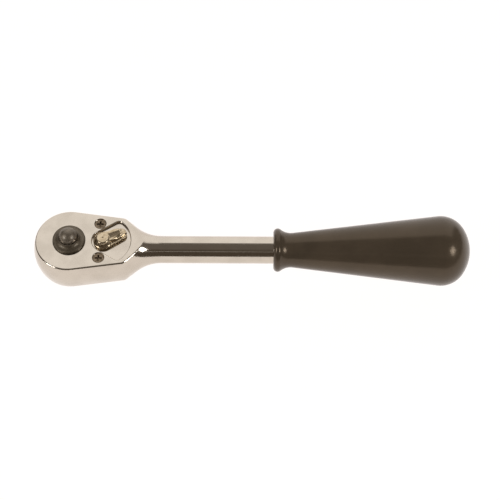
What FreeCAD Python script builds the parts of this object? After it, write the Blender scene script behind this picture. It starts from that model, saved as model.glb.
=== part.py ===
"""Reversible quick-release ratchet wrench with a 3/8 inch square drive, in millimetres.

The origin is the centre of the square drive's end face. +Z runs up the drive axis to the side
with the reversing lever, and +X runs from the drive axis along the handle.
"""
import FreeCAD, Part
import math
import os
import Sketcher
from FreeCAD import Placement, Rotation, Vector

SIZES = {
    # Levels up the drive axis, from the end of the square drive.
    "axis_height": (19.0, "middle plane of the head and the shank"),
    "half_thickness": (8.0, "middle plane to either flat face of the head"),
    "drive_length": (10.7, "end of the square to its shoulder"),
    # Head outline.
    "head_radius": (16.6, "round end of the head, at mid height"),
    "head_crown": (1.35, "how far the walls lean in by the flat faces"),
    "head_taper": (8.25, "degrees that each side wall closes towards the shank"),
    "head_reach": (27.0, "drive axis to the centre of the head's narrow end"),
    "face_edge": (0.7, "rounding where walls meet the flat faces"),
    "shoulder_edge": (3.0, "rounding where the side walls meet the neck"),
    "bar_start": (31.0, "where the shank's bar takes over from the head's walls"),
    # Neck, shank and tang, turned about the handle's axis.
    "flare_radius": (18.4, "hollow curve from neck to shank"),
    "flare_angle": (37.5, "slope of the cone behind that curve, degrees"),
    "flare_end": (41.6, "where the curve runs out into the shank"),
    "cone_back": (50.0, "how far the cone is carried back through the head"),
    "shank_radius": (6.25, "round shank"),
    "shank_end": (95.0, "end of the full shank, inside the grip"),
    "tang_radius": (5.0, "tang inside the grip"),
    "tang_end": (163.0, "end of the tang"),
    "tang_groove": (0.7, "depth of the rings that key the grip on"),
    "tang_ring": (5.0, "width of each ring groove"),
    "tang_pitch": (14.0, "distance from ring to ring"),
    "tang_first": (102.0, "start of the first ring groove"),
    "tang_rings": (4, "ring grooves"),
    # Cavities in the head.
    "recess_depth": (2.0, "recess that the cover plate sits in"),
    "cavity_radius": (10.35, "gear cavity"),
    "cavity_top": (4.8, "roof of the cavities, above the middle plane"),
    "hub_hole": (7.5, "radius of the hole that the gear's upper hub turns in"),
    "chamber_half": (6.6, "half width of the pawl chamber"),
    "chamber_end": (14.5, "far wall of the pawl chamber"),
    "chamber_corner": (1.2, "rounding in its far corners"),
    "stem_chamber": (4.7, "radius of the room around the lever's stem"),
    # Lever pocket on top.
    "lever_reach": (15.5, "drive axis to the lever's axis"),
    "pocket_depth": (1.3, "fan-shaped pocket that the lever swings in"),
    "pocket_nose": (5.2, "radius of the fan's small end"),
    "pocket_sweep": (12.5, "radius of the fan's far wall"),
    "pocket_angle": (32.0, "degrees from the middle to each straight side"),
    "pocket_corner": (2.0, "rounding in the fan's two far corners"),
    "pocket_edge": (0.5, "rounding of the pocket's rim"),
    "stem_hole": (2.38, "radius of the stem's hole in the roof"),
    # Cover plate and what holds it.
    "plate_nose": (13.3, "radius round the drive axis"),
    "plate_tail": (10.8, "radius of its narrow end"),
    "plate_reach": (18.0, "drive axis to the centre of the narrow end"),
    "plate_gap": (0.05, "gap round the plate in its recess"),
    "plate_bore": (8.08, "radius of the hole for the gear's lower hub"),
    "screw_x": (13.8, "cover screws, along the handle"),
    "screw_y": (8.9, "cover screws, to each side"),
    "screw_radius": (1.5, "M3 thread"),
    "screw_clearance": (1.6, "radius of the through hole"),
    "screw_head": (2.7, "radius of the countersunk head"),
    "screw_sink": (0.4, "how far the head lies below the face"),
    "screw_seat": (2.8, "radius of the hole above the head"),
    "screw_length": (15.0, "whole screw"),
    "cross_span": (3.2, "across the cross recess"),
    "cross_slot": (0.85, "width of each slot of the cross"),
    "cross_depth": (1.3, "depth of the cross recess"),
    "dowel_radius": (0.9, "locating dowels"),
    "dowel_circle": (8.38, "x and y of a dowel from the drive axis"),
    "dowel_length": (5.2, "each dowel"),
    "dowel_room": (0.2, "room above each dowel"),
    # Drive gear.
    "square": (9.53, "across the flats of the square drive"),
    "square_edge": (0.9, "flat on each corner of the square"),
    "square_lead": (0.8, "lead-in bevel at the end of the square"),
    "lower_hub": (8.0, "radius of the hub in the cover plate"),
    "hub_drop": (0.3, "how far the lower hub stands below the plate"),
    "teeth": (48, "teeth round the gear"),
    "gear_radius": (10.0, "tips of the teeth"),
    "tooth_depth": (0.75, "depth of a tooth"),
    "gear_bottom": (-5.2, "bottom of the teeth, from the middle plane"),
    "gear_top": (2.8, "top of the teeth"),
    "tooth_lead": (0.5, "how far past the tips a notch is drawn"),
    "gear_collar": (9.0, "radius of the plain collar above the teeth"),
    "collar_top": (4.6, "top of that collar"),
    "upper_hub": (7.4, "radius of the hub that shows on top"),
    "hub_rise": (1.3, "how far its rim stands above the face"),
    "hub_rim": (0.6, "rounding of that rim"),
    "hub_dish": (2.7, "hollow curve that sweeps up to the button"),
    "dish_foot": (6.8, "radius where that curve begins"),
    "collar_outer": (5.4, "outside of the collar round the button"),
    "collar_inner": (4.22, "hole of that collar"),
    "collar_bottom": (7.0, "bottom of the collar, from the middle plane"),
    "collar_edge": (0.1, "bevel at the collar's mouth"),
    "button_bore": (4.75, "radius of the button's bore"),
    "bore_floor": (1.0, "floor of the button's bore, from the middle plane"),
    "pin_bore": (2.25, "radius of the push pin's bore"),
    "pin_bore_end": (1.5, "bottom of that bore, from the end of the square"),
    # Quick release.
    "ball_radius": (1.6, "detent ball"),
    "ball_centre": (3.718, "drive axis to the ball's centre"),
    "ball_height": (5.6, "end of the square to the ball"),
    "ball_hole": (1.65, "radius of the ball's hole"),
    "ball_lip": (1.27, "radius of the hole's staked mouth"),
    "lip_start": (4.2, "where the staked mouth begins, from the drive axis"),
    "pin_radius": (2.2, "push pin"),
    "pin_ramp": (0.26, "slope of the ramp that the ball drops into"),
    "ramp_start": (0.6, "start of the ramp below the ball"),
    "ramp_end": (3.1, "end of the ramp above the ball"),
    "ramp_exit": (4.0, "where the pin is back at full size above the ball"),
    "pin_tail": (1.3, "end of the pin below the ball"),
    "pin_top": (8.0, "top of the pin, from the middle plane"),
    "button_flange": (4.65, "radius of the button's flange"),
    "button_radius": (4.15, "side of the button"),
    "flange_bottom": (5.4, "underside of the button, from the middle plane"),
    "flange_top": (6.9, "top of the flange"),
    "button_top": (15.2, "top of the button's dome, from the middle plane"),
    "dome_curve": (4.6, "curve over the top of the dome"),
    "dome_turn": (45.8, "degrees from the top to where the dome turns down faster"),
    "dome_side": (3.0, "curve from there to the button's side"),
    "spring_wire": (0.225, "radius of the button spring's wire"),
    "spring_coil": (3.4, "radius of the button spring"),
    "spring_turns": (4.0, "turns of the button spring"),
    # Washer and sealing rings.
    "washer_bottom": (-6.0, "bottom of the thrust washer"),
    "washer_top": (-5.3, "top of the thrust washer"),
    "washer_inner": (8.2, "hole of the thrust washer"),
    "washer_outer": (10.2, "outside of the thrust washer"),
    "hub_seal_level": (6.1, "sealing ring round the gear's upper hub"),
    "hub_seal_wire": (0.45, "radius of its cord"),
    "stem_seal_level": (5.75, "sealing ring round the lever's stem"),
    "stem_seal_wire": (0.4, "radius of its cord"),
    "seal_squeeze": (0.05, "gap left round each sealing ring"),
    # Pawl.
    "pawl_pivot": (11.9, "drive axis to the line that the pawl rocks about"),
    "pawl_tilt": (5.5, "degrees that it rocks to each side"),
    "pawl_front": (10.4, "its face between the two sets of teeth"),
    "pawl_root": (9.35, "radius that its teeth reach in to"),
    "pawl_inner": (16.0, "degrees round the gear to the first tooth"),
    "pawl_outer": (34.0, "degrees round the gear to the last tooth"),
    "pawl_horn": (5.8, "half width over the two sets of teeth"),
    "pawl_horn_x": (8.6, "outer corner of the teeth"),
    "pawl_shoulder": (5.3, "half width behind the teeth"),
    "pawl_shoulder_x": (12.4, "back shoulder"),
    "pawl_back": (3.6, "radius of the hollow that the plunger works in"),
    "pawl_hollow": (60.0, "degrees from its middle to the hollow's edge"),
    "tooth_clearance": (0.06, "room between gear and pawl teeth"),
    # Reversing lever.
    "lever_rest": (24.0, "degrees that the lever points off the handle's axis"),
    "stem_radius": (2.3, "stem of the lever"),
    "stem_foot": (1.8, "radius of its lower end"),
    "foot_top": (-5.4, "where the lower end begins, from the middle plane"),
    "foot_end": (-7.6, "end of the stem"),
    "foot_hole": (1.9, "radius of its hole in the cover plate"),
    "stem_bore": (0.95, "radius of the plunger's bore across the stem"),
    "stem_bore_level": (-1.2, "level of that bore"),
    "stem_bore_end": (1.7, "closed end of that bore behind the lever's axis"),
    "clip_low": (3.9, "bottom of the lever's retaining clip"),
    "clip_high": (4.5, "top of the lever's retaining clip"),
    "clip_groove": (1.8, "radius of the stem inside the clip"),
    "clip_outer": (3.6, "outside of the lever's retaining clip"),
    "clip_gap": (0.02, "gap between the clip and its groove"),
    "clip_mouth": (2.8, "width of the clip's open side"),
    "lever_under": (6.9, "underside of the thumb piece, from the middle plane"),
    "lever_hub": (4.5, "radius of the thumb piece at its hub"),
    "lever_plate": (1.5, "thickness of the thumb piece"),
    "thumb_round": (0.5, "rounding of the thumb piece's upper edge"),
    "lever_tip": (4.0, "radius of the thumb piece's tip"),
    "lever_length": (11.6, "lever's axis to the tip"),
    "boss_top": (10.4, "flat top of the hub"),
    "boss_radius": (2.4, "radius of that flat top"),
    "boss_flank": (4.0, "curve from the hub's side up to its flat top"),
    "hub_bevel": (0.4, "bevel under the hub"),
    "dimple_radius": (0.5, "centre mark in the flat top"),
    "dimple_depth": (0.35, "depth of that mark"),
    "fin_width": (2.0, "thumb fin"),
    "fin_start": (2.0, "where the fin leaves the hub"),
    "fin_end": (10.6, "outer end of the fin"),
    "fin_top": (10.6, "top of the fin"),
    "fin_round": (0.8, "rounding of the fin's long edges"),
    # Plunger and its spring.
    "plunger_radius": (0.85, "plunger"),
    "plunger_tip": (3.25, "lever's axis to the plunger's round tip"),
    "plunger_length": (2.9, "plunger"),
    "plunger_wire": (0.14, "radius of its spring's wire"),
    "plunger_coil": (0.62, "radius of its spring"),
    "plunger_turns": (4.0, "turns of its spring"),
    # Grip.
    "grip_start": (93.0, "front face of the grip"),
    "grip_length": (90.1, "whole grip"),
    "grip_front": (8.0, "radius where the front face starts to round"),
    "flange_round": (2.0, "curve over the front flange"),
    "flange_turn": (52.1, "degrees down the far side of the flange to the hollow curve"),
    "waist_curve": (7.74, "hollow curve from flange to waist"),
    "waist_radius": (8.0, "narrowest part of the grip"),
    "waist_at": (8.9, "front face to the waist"),
    "swell_radius": (15.97, "radius at the end of the straight taper"),
    "swell_at": (75.4, "front face to the end of the straight taper"),
    "end_curve": (12.0, "curve from there to the end's own curve"),
    "end_turn": (35.03, "degrees from the axis to where the two curves meet"),
    "end_crown": (19.06, "curve of the very end"),
    # Shared by many pieces.
    "light_bevel": (0.3, "bevel on hubs, screws, dowels, pins and stems"),
    "cut_over": (1.0, "how far a cutting outline runs past the material"),
}
TINY = 1e-4  # two places closer than this are the same
NEAR = 5.0  # how far from its expected place an edge is looked for

doc = FreeCAD.newDocument("ratchet_wrench")
sheet = doc.addObject("Spreadsheet::Sheet", "size")
for row, (alias, (number, note)) in enumerate(SIZES.items(), start=1):
    sheet.set(f"A{row}", alias)
    sheet.set(f"B{row}", str(number))
    sheet.set(f"C{row}", note)
    sheet.setAlias(f"B{row}", alias)
doc.recompute()


def value(expression):
    """The number that an expression in the sheet's sizes stands for."""
    return float(sheet.evalExpression(expression))


def level(offset):
    """The height, as an expression, of a level given from the middle plane."""
    return f"size.axis_height + ({offset})"


def new_body(label):
    """An empty body whose label names its file."""
    body = doc.addObject("PartDesign::Body", label)
    body.Label = label
    return body


def new_sketch(body, name, role="XY_Plane", height=None):
    """A sketch on one of the body's own planes, raised along the plane's normal."""
    sketch = body.newObject("Sketcher::SketchObject", name)
    support = next(item for item in body.Origin.OriginFeatures if item.Role == role)
    sketch.AttachmentSupport = (support, [""])
    sketch.MapMode = "FlatFace"
    if height:
        sketch.setExpression("AttachmentOffset.Base.z", height)
    return sketch


def bind(sketch, constraint, expression):
    """Add a constraint and drive its value by the sheet."""
    index = sketch.addConstraint(constraint)
    sketch.setExpression(f"Constraints[{index}]", expression)


def arc_between(start, end, radius, side):
    """The arc from start to end that bulges right (side 1) or left (side -1) of the way."""
    chord = end - start
    middle = (start + end) * 0.5
    left = Vector(-chord.y, chord.x, 0) / chord.Length
    centre = middle + left * (side * math.sqrt(max(radius**2 - (chord.Length / 2) ** 2, 0)))
    first, last = (start, end) if side > 0 else (end, start)
    angles = [math.atan2(point.y - centre.y, point.x - centre.x) for point in (first, last)]
    return Part.ArcOfCircle(Part.Circle(centre, Vector(0, 0, 1), radius), *angles)


def draw(sketch, corners):
    """Draw a closed outline through corners (x, y) or (x, y, radius, side), as expressions.

    With a radius, the side from that corner to the next is an arc that bulges to the right
    of the way round (side 1) or to the left (side -1).
    """
    places = [Vector(value(corner[0]), value(corner[1]), 0) for corner in corners]
    ends = []
    for index, corner in enumerate(corners):
        start = places[index]
        end = places[(index + 1) % len(corners)]
        if len(corner) == 4:
            side = corner[3]
            edge = sketch.addGeometry(arc_between(start, end, value(corner[2]), side), False)
            ends.append((edge, 1, 2) if side > 0 else (edge, 2, 1))
        else:
            edge = sketch.addGeometry(Part.LineSegment(start, end), False)
            ends.append((edge, 1, 2))
    for index, corner in enumerate(corners):
        before = ends[index - 1]
        edge, start_point, _ = ends[index]
        sketch.addConstraint(Sketcher.Constraint("Coincident", before[0], before[2], edge, start_point))
        for kind, number, text in (
            ("DistanceX", places[index].x, corner[0]),
            ("DistanceY", places[index].y, corner[1]),
        ):
            bind(sketch, Sketcher.Constraint(kind, -1, 1, edge, start_point, number), text)
        if len(corner) == 4:
            bind(sketch, Sketcher.Constraint("Radius", edge, value(corner[2])), corner[2])


def draw_circle(sketch, radius, x="0", y="0"):
    """Draw a circle about a point, all sizes as expressions."""
    centre = Vector(value(x), value(y), 0)
    edge = sketch.addGeometry(Part.Circle(centre, Vector(0, 0, 1), value(radius)), False)
    bind(sketch, Sketcher.Constraint("DistanceX", -1, 1, edge, 3, centre.x), x)
    bind(sketch, Sketcher.Constraint("DistanceY", -1, 1, edge, 3, centre.y), y)
    bind(sketch, Sketcher.Constraint("Radius", edge, value(radius)), radius)


def turn(body, name, corners, axis="V_Axis", cut=False):
    """Turn a half section, drawn on the XZ plane, about the drive axis or the handle's axis."""
    sketch = new_sketch(body, f"{name}_section", "XZ_Plane")
    draw(sketch, corners)
    feature = body.newObject("PartDesign::Groove" if cut else "PartDesign::Revolution", name)
    feature.Profile = sketch
    feature.ReferenceAxis = (sketch, [axis])
    feature.Angle = 360
    sketch.Visibility = False
    return feature


def turn_about_handle(body, name, corners):
    """Turn a half section, drawn on the XZ plane, about the handle's axis."""
    sketch = new_sketch(body, f"{name}_section", "XZ_Plane")
    draw(sketch, corners)
    axis = new_sketch(body, f"{name}_axis", "XZ_Plane")
    height = value("size.axis_height")
    along = Part.LineSegment(Vector(0, height, 0), Vector(NEAR, height, 0))
    line = axis.addGeometry(along, False)
    bind(axis, Sketcher.Constraint("DistanceY", -1, 1, line, 1, height), "size.axis_height")
    axis.addConstraint(Sketcher.Constraint("Horizontal", line))
    feature = body.newObject("PartDesign::Revolution", name)
    feature.Profile = sketch
    feature.ReferenceAxis = (axis, ["Edge1"])
    feature.Angle = 360
    return feature


def raise_pad(body, name, height, length, drawing):
    """A pad that stands on a level; drawing is called with its sketch."""
    sketch = new_sketch(body, f"{name}_outline", "XY_Plane", height)
    drawing(sketch)
    feature = body.newObject("PartDesign::Pad", name)
    feature.Profile = sketch
    feature.setExpression("Length", length)
    return feature


def sink_pocket(body, name, height, depth, drawing):
    """A pocket that runs down from a level; drawing is called with its sketch."""
    sketch = new_sketch(body, f"{name}_outline", "XY_Plane", height)
    drawing(sketch)
    feature = body.newObject("PartDesign::Pocket", name)
    feature.Profile = sketch
    feature.setExpression("Length", depth)
    return feature


def recomputed_volume(body):
    """The body's volume after a recompute."""
    doc.recompute()
    return body.Shape.Volume


def check_cut(body, before, name):
    """Stop if a cutting feature took nothing away."""
    after = recomputed_volume(body)
    if after > before - 0.01:
        raise RuntimeError(f"{body.Label}: {name} cut nothing ({before:.2f} to {after:.2f})")
    return after


def edges_where(shape, wanted):
    """Names of the edges whose middle point passes a test."""
    names = []
    for index, edge in enumerate(shape.Edges, start=1):
        middle = edge.valueAt((edge.FirstParameter + edge.LastParameter) / 2)
        if wanted(edge, middle):
            names.append(f"Edge{index}")
    return names


def dress(body, kind, name, size_name, wanted):
    """Round (Fillet) or bevel (Chamfer) the edges of the body's tip that pass a test."""
    doc.recompute()
    base = body.Tip
    names = edges_where(base.Shape, wanted)
    feature = body.newObject(f"PartDesign::{kind}", name)
    feature.Base = (base, names)
    feature.setExpression("Radius" if kind == "Fillet" else "Size", size_name)
    doc.recompute()
    if not names or "Invalid" in feature.State or "Error" in feature.State:
        raise RuntimeError(f"{body.Label}: {name} failed on {len(names)} edges")
    return feature


def tapered_outline(nose, tail, reach):
    """Corners of two circles joined by their common tangents, tail first."""
    lean = f"asin(({nose} - ({tail})) / ({reach}))"
    return [
        (f"{reach} + ({tail}) * sin({lean})", f"({tail}) * cos({lean})", tail, -1),
        (f"{reach} + ({tail}) * sin({lean})", f"-({tail}) * cos({lean})"),
        (f"({nose}) * sin({lean})", f"-({nose}) * cos({lean})", nose, -1),
        (f"-({nose})", "0", nose, -1),
        (f"({nose}) * sin({lean})", f"({nose}) * cos({lean})"),
    ]


def head_form():
    """The head's walls, lofted from face to face over the wider middle, with the shank's bar."""
    body = new_body("head_form")
    tail = "size.head_radius - size.head_reach * sin(size.head_taper)"
    sections = []
    for name, height, inset in (
        ("bottom", level("-size.half_thickness"), "size.head_crown"),
        ("middle", level("0"), "0"),
        ("top", level("size.half_thickness"), "size.head_crown"),
    ):
        sketch = new_sketch(body, f"head_{name}", "XY_Plane", height)
        nose = f"size.head_radius - {inset}"
        draw(sketch, tapered_outline(nose, f"{tail} - {inset}", "size.head_reach"))
        sections.append(sketch)
    loft = body.newObject("PartDesign::AdditiveLoft", "head_walls")
    loft.Profile = sections[0]
    loft.Sections = sections[1:]

    def bar(sketch):
        half = "size.cavity_radius"
        draw(sketch, [
            ("size.bar_start", f"-{half}"),
            ("size.tang_end + size.cut_over", f"-{half}"),
            ("size.tang_end + size.cut_over", half),
            ("size.bar_start", half),
        ])

    raise_pad(body, "bar", level("-size.half_thickness"), "2 * size.half_thickness", bar)
    return body


def tang_rings():
    """Corners of the ring grooves that key the grip to the tang, from the head outwards."""
    corners = []
    for ring in range(int(value("size.tang_rings"))):
        start = f"size.tang_first + {ring} * size.tang_pitch"
        deep = level("size.tang_radius - size.tang_groove")
        full = level("size.tang_radius")
        stop = f"{start} + size.tang_ring"
        corners += [(start, full), (start, deep), (stop, deep), (stop, full)]
    return corners


def turned_bar():
    """The neck's cone and hollow curve, the shank and the tang, turned about the handle's axis."""
    bar = new_body("turned_bar")
    curve_start = "size.flare_end - size.flare_radius * sin(size.flare_angle)"
    curve_rise = "size.flare_radius * (1 - cos(size.flare_angle))"
    cone_start = f"{curve_start} - size.cone_back"
    cone_radius = f"size.shank_radius + {curve_rise} + size.cone_back * tan(size.flare_angle)"
    turn_about_handle(bar, "bar_turned", [
        (cone_start, level("0")),
        ("size.tang_end", level("0")),
        ("size.tang_end", level("size.tang_radius")),
        *reversed(tang_rings()),
        ("size.shank_end", level("size.tang_radius")),
        ("size.shank_end", level("size.shank_radius")),
        ("size.flare_end", level("size.shank_radius"), "size.flare_radius", -1),
        (curve_start, level(f"size.shank_radius + {curve_rise}")),
        (cone_start, level(cone_radius)),
    ])
    return bar


def fan_pocket(sketch):
    """The lever pocket: a round nose, two straight sides and a far wall swept by the lever."""
    angle = "size.pocket_angle"
    run = "sqrt(size.pocket_sweep^2 - size.pocket_nose^2)"
    corner_x = f"size.lever_reach - size.pocket_nose * sin({angle}) + {run} * cos({angle})"
    corner_y = f"size.pocket_nose * cos({angle}) + {run} * sin({angle})"
    side_x = f"size.lever_reach - size.pocket_nose * sin({angle})"
    side_y = f"size.pocket_nose * cos({angle})"
    draw(sketch, [
        (side_x, side_y, "size.pocket_nose", 1),
        (side_x, f"-({side_y})"),
        (corner_x, f"-({corner_y})", "size.pocket_sweep", 1),
        (corner_x, corner_y),
    ])


def ratchet_body():
    """The forged head, neck, shank and tang in one piece, bored for the mechanism."""
    blank = doc.addObject("Part::MultiCommon", "forging")
    blank.Shapes = [head_form(), turned_bar()]
    doc.recompute()
    body = new_body("ratchet_body")
    body.BaseFeature = blank
    middle = value("size.axis_height")
    face = value("size.half_thickness")
    head_end = value("size.head_reach")

    def on_shoulder(edge, point):
        upright = abs(edge.tangentAt((edge.FirstParameter + edge.LastParameter) / 2).z) > 0.7
        return upright and abs(point.x - head_end) < NEAR

    def on_face(edge, point):
        ends_flat = all(abs(abs(vertex.Z - middle) - face) < TINY for vertex in edge.Vertexes)
        return ends_flat and abs(abs(point.z - middle) - face) < TINY

    dress(body, "Fillet", "shoulders", "size.shoulder_edge", on_shoulder)
    dress(body, "Fillet", "face_edges", "size.face_edge", on_face)
    volume = recomputed_volume(body)
    below = level("-size.half_thickness - size.cut_over")
    above = level("size.half_thickness + size.cut_over")
    roof = level("size.cavity_top")
    turn(body, "gear_cavity", [
        ("0", below),
        ("size.cavity_radius", below),
        ("size.cavity_radius", roof),
        ("size.hub_hole", roof),
        ("size.hub_hole", above),
        ("0", above),
    ], cut=True)
    volume = check_cut(body, volume, "gear_cavity")
    through = "size.cavity_top + size.half_thickness + size.cut_over"

    def chamber(sketch):
        corner = "size.chamber_corner"
        end = "size.chamber_end"
        half = "size.chamber_half"
        draw(sketch, [
            ("size.cavity_radius / 2", f"-{half}"),
            (f"{end} - {corner}", f"-{half}", corner, 1),
            (end, f"-{half} + {corner}"),
            (end, f"{half} - {corner}", corner, 1),
            (f"{end} - {corner}", half),
            ("size.cavity_radius / 2", half),
        ])

    sink_pocket(body, "pawl_chamber", roof, through, chamber)
    volume = check_cut(body, volume, "pawl_chamber")
    sink_pocket(body, "stem_chamber", roof, through,
                lambda sketch: draw_circle(sketch, "size.stem_chamber", "size.lever_reach"))
    volume = check_cut(body, volume, "stem_chamber")

    def recess(sketch):
        draw(sketch, tapered_outline("size.plate_nose", "size.plate_tail", "size.plate_reach"))

    sink_pocket(body, "cover_recess", level("size.recess_depth - size.half_thickness"),
                "size.recess_depth + size.cut_over", recess)
    volume = check_cut(body, volume, "cover_recess")
    sink_pocket(body, "lever_pocket", level("size.half_thickness"), "size.pocket_depth", fan_pocket)
    volume = check_cut(body, volume, "lever_pocket")
    sweep = value("size.pocket_sweep")

    def from_lever(point):
        return math.hypot(point.x - value("size.lever_reach"), point.y)

    def in_fan_corner(edge, point):
        upright = abs(edge.tangentAt(edge.FirstParameter).z) > 0.99
        depth = middle + face - point.z
        return upright and abs(from_lever(point) - sweep) < TINY and depth < value("size.pocket_depth")

    dress(body, "Fillet", "pocket_corners", "size.pocket_corner", in_fan_corner)

    def on_rim(edge, point):
        return on_face(edge, point) and point.z > middle and from_lever(point) < sweep + TINY

    dress(body, "Fillet", "pocket_rim", "size.pocket_edge", on_rim)
    volume = recomputed_volume(body)
    sink_pocket(body, "stem_bore", above, "size.half_thickness - size.cavity_top + 2 * size.cut_over",
                lambda sketch: draw_circle(sketch, "size.stem_hole", "size.lever_reach"))
    volume = check_cut(body, volume, "stem_bore")

    def two_screws(radius):
        def drawing(sketch):
            draw_circle(sketch, radius, "size.screw_x", "size.screw_y")
            draw_circle(sketch, radius, "size.screw_x", "-size.screw_y")
        return drawing

    sink_pocket(body, "screw_seats", above, "size.cut_over + size.screw_sink", two_screws("size.screw_seat"))
    volume = check_cut(body, volume, "screw_seats")
    sink_pocket(body, "screw_holes", above, "2 * size.half_thickness", two_screws("size.screw_clearance"))
    volume = check_cut(body, volume, "screw_holes")
    for name, side in (("left", "1"), ("right", "-1")):
        cone = body.newObject("PartDesign::SubtractiveCone", f"countersink_{name}")
        cone.setExpression("Radius1", "size.screw_clearance")
        cone.setExpression("Radius2", "size.screw_seat")
        cone.setExpression("Height", "size.screw_seat - size.screw_clearance")
        cone.setExpression("Placement.Base.x", "size.screw_x")
        cone.setExpression("Placement.Base.y", f"{side} * size.screw_y")
        cone.setExpression("Placement.Base.z", level(
            "size.half_thickness - size.screw_sink - size.screw_seat + size.screw_clearance"))
        volume = check_cut(body, volume, f"countersink_{name}")

    def dowels(sketch):
        draw_circle(sketch, "size.dowel_radius", "-size.dowel_circle", "size.dowel_circle")
        draw_circle(sketch, "size.dowel_radius", "-size.dowel_circle", "-size.dowel_circle")

    sink_pocket(body, "dowel_holes", level("-size.half_thickness + size.dowel_length + size.dowel_room"),
                "size.dowel_length + size.cut_over", dowels)
    check_cut(body, volume, "dowel_holes")
    return body


def handle_grip():
    """The moulded grip: flanged nose, narrow waist, long taper and a domed end."""
    body = new_body("handle_grip")

    def at(distance):
        return f"size.grip_start + {distance}"

    turn_about_handle(body, "grip_turned", [
        ("size.shank_end", level("size.shank_radius")),
        ("size.shank_end", level("size.tang_radius")),
        *tang_rings(),
        ("size.tang_end", level("size.tang_radius")),
        ("size.tang_end", level("0")),
        (at("size.grip_length"), level("0"), "size.end_crown", 1),
        (at("size.grip_length - size.end_crown * (1 - cos(size.end_turn))"),
         level("size.end_crown * sin(size.end_turn)"), "size.end_curve", 1),
        (at("size.swell_at"), level("size.swell_radius")),
        (at("size.waist_at"), level("size.waist_radius"), "size.waist_curve", -1),
        (at("size.flange_round * (1 + cos(size.flange_turn))"),
         level("size.grip_front + size.flange_round * sin(size.flange_turn)"), "size.flange_round", 1),
        (at("0"), level("size.grip_front")),
        (at("0"), level("size.shank_radius")),
    ])
    return body


def cover_plate():
    """The plate that closes the head on the drive side."""
    body = new_body("cover_plate")

    def outline(sketch):
        draw(sketch, tapered_outline(
            "size.plate_nose - size.plate_gap", "size.plate_tail - size.plate_gap", "size.plate_reach"))

    bottom = level("-size.half_thickness")
    raise_pad(body, "plate", bottom, "size.recess_depth", outline)
    volume = recomputed_volume(body)

    def holes(sketch):
        draw_circle(sketch, "size.plate_bore")
        draw_circle(sketch, "size.foot_hole", "size.lever_reach")
        for side in ("1", "-1"):
            draw_circle(sketch, "size.screw_radius", "size.screw_x", f"{side} * size.screw_y")
            draw_circle(sketch, "size.dowel_radius", "-size.dowel_circle", f"{side} * size.dowel_circle")

    sink_pocket(body, "plate_holes", level("size.recess_depth - size.half_thickness"),
                "size.recess_depth", holes)
    check_cut(body, volume, "plate_holes")
    return body


def cover_screw(name):
    """One countersunk cross-recess screw, standing on the drive axis."""
    body = new_body(name)
    top = level("size.half_thickness - size.screw_sink")
    rim = f"{top} - size.screw_seat + size.screw_head"
    turn(body, f"{name}_turned", [
        ("0", f"{top} - size.screw_length"),
        ("size.screw_radius - size.light_bevel", f"{top} - size.screw_length"),
        ("size.screw_radius", f"{top} - size.screw_length + size.light_bevel"),
        ("size.screw_radius", f"{rim} - size.screw_head + size.screw_radius"),
        ("size.screw_head", rim),
        ("size.screw_head - size.light_bevel", top),
        ("0", top),
    ])
    volume = recomputed_volume(body)
    half = "size.cross_span / 2"
    slot = "size.cross_slot / 2"
    cross = [
        (half, f"-{slot}"), (half, slot), (slot, slot), (slot, half),
        (f"-{slot}", half), (f"-{slot}", slot), (f"-{half}", slot), (f"-{half}", f"-{slot}"),
        (f"-{slot}", f"-{slot}"), (f"-{slot}", f"-{half}"), (slot, f"-{half}"), (slot, f"-{slot}"),
    ]
    sink_pocket(body, f"{name}_cross", top, "size.cross_depth", lambda sketch: draw(sketch, cross))
    check_cut(body, volume, "cross")
    return body


def pair(label, pieces, x, y):
    """Two like pieces on either side of the handle's axis, as one node of two solids."""
    for piece, side in zip(pieces, ("1", "-1")):
        piece.setExpression("Placement.Base.x", x)
        piece.setExpression("Placement.Base.y", f"{side} * {y}")
    group = doc.addObject("Part::Compound", label)
    group.Label = label
    group.Links = pieces
    return group


def cover_screws():
    """The two screws that hold the cover plate from the lever side."""
    return pair("cover_screws", [cover_screw("screw_left"), cover_screw("screw_right")],
                "size.screw_x", "size.screw_y")


def cover_dowels():
    """The two dowels that locate the cover plate."""
    pieces = []
    for name in ("dowel_left", "dowel_right"):
        body = new_body(name)
        bottom = level("-size.half_thickness")
        turn(body, f"{name}_turned", [
            ("0", bottom),
            ("size.dowel_radius - size.light_bevel", bottom),
            ("size.dowel_radius", f"{bottom} + size.light_bevel"),
            ("size.dowel_radius", f"{bottom} + size.dowel_length - size.light_bevel"),
            ("size.dowel_radius - size.light_bevel", f"{bottom} + size.dowel_length"),
            ("0", f"{bottom} + size.dowel_length"),
        ])
        pieces.append(body)
    return pair("cover_dowels", pieces, "-size.dowel_circle", "size.dowel_circle")


def cut_teeth(body, name, radius, root, top, height):
    """Cut the ratchet teeth round a blank as a polar pattern of one notch."""
    half_pitch = "180 / size.teeth"

    def notch(sketch):
        outside = f"({radius} + size.tooth_lead)"
        spread = f"{half_pitch} * {outside} / ({radius})"
        draw(sketch, [
            (root, "0"),
            (f"{outside} * cos({spread})", f"-{outside} * sin({spread})"),
            (f"{outside} * cos({spread})", f"{outside} * sin({spread})"),
        ])

    first = sink_pocket(body, f"{name}_notch", top, height, notch)
    doc.recompute()
    pattern = body.newObject("PartDesign::PolarPattern", f"{name}_teeth")
    pattern.Originals = [first]
    axis = next(item for item in body.Origin.OriginFeatures if item.Role == "Z_Axis")
    pattern.Axis = (axis, [""])
    pattern.Angle = 360
    pattern.Occurrences = int(value("size.teeth"))
    body.Tip = pattern
    doc.recompute()
    return pattern


def dish_level(radius):
    """The height of the hollow curve round the button, at a distance from the drive axis."""
    rise = f"size.hub_dish - sqrt(size.hub_dish^2 - (size.dish_foot - {radius})^2)"
    return level(f"size.half_thickness + size.hub_rise + {rise}")


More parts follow.
